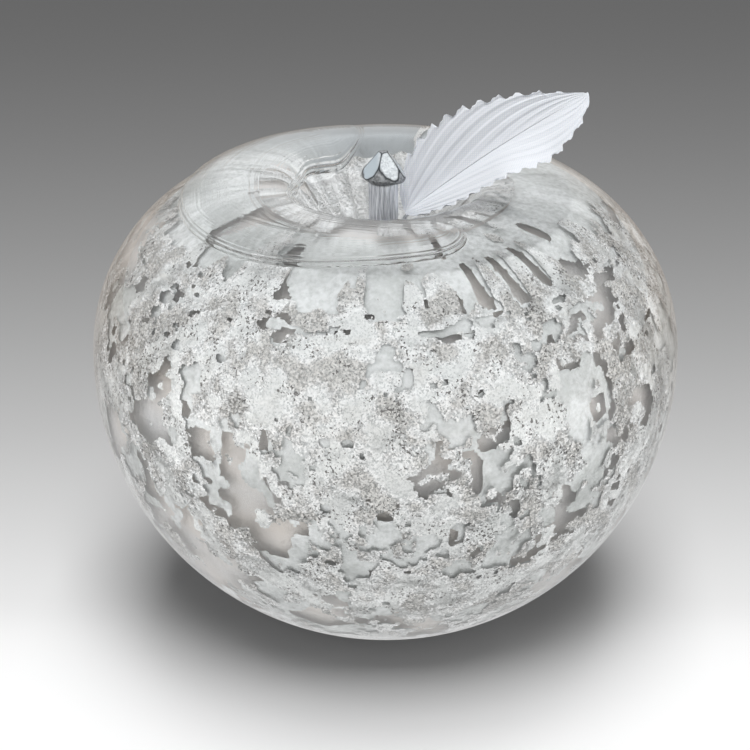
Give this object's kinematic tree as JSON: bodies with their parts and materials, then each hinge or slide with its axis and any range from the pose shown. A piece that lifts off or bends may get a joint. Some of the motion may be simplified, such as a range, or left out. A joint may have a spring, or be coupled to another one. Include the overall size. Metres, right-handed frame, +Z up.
{
  "type": "art glass apple",
  "caption": "Clear glass apple paperweight with crinkled silver foil under its skin, a swirled lobe round the dimple, a cast stem and a pale satin leaf.",
  "frame": {"origin": "centre of the flat ground base, on the surface that it stands on", "axes": "+Z up along the stem and the apple's axis, +X from the stem towards the tip of the leaf, -Y towards the front of the swirl"},
  "size_m": [0.0988, 0.0988, 0.0924],
  "materials": {
    "clear_glass": "fire-polished clear crystal",
    "silver_foil": "crinkled bright leaf",
    "cast_metal": "dull silver-grey casting with dark edges",
    "satin_fabric": "pale silver-white satin with a fine woven rib",
    "wire": "bright drawn wire",
    "clear_adhesive": "clear cured resin"
  },
  "bodies": {
    "root": {"inner_gather": "clear_glass", "outer_casing": "clear_glass", "swirl_wrap": "clear_glass", "silver_foil_heel": "silver_foil", "silver_foil_lower": "silver_foil", "silver_foil_belly": "silver_foil", "silver_foil_waist": "silver_foil", "silver_foil_shoulder": "silver_foil", "silver_foil_crest": "silver_foil", "silver_foil_crown": "silver_foil", "cast_stem": "cast_metal", "leaf_blade": "satin_fabric", "leaf_wire": "wire", "socket_adhesive": "clear_adhesive"}
  },
  "joints": []
}
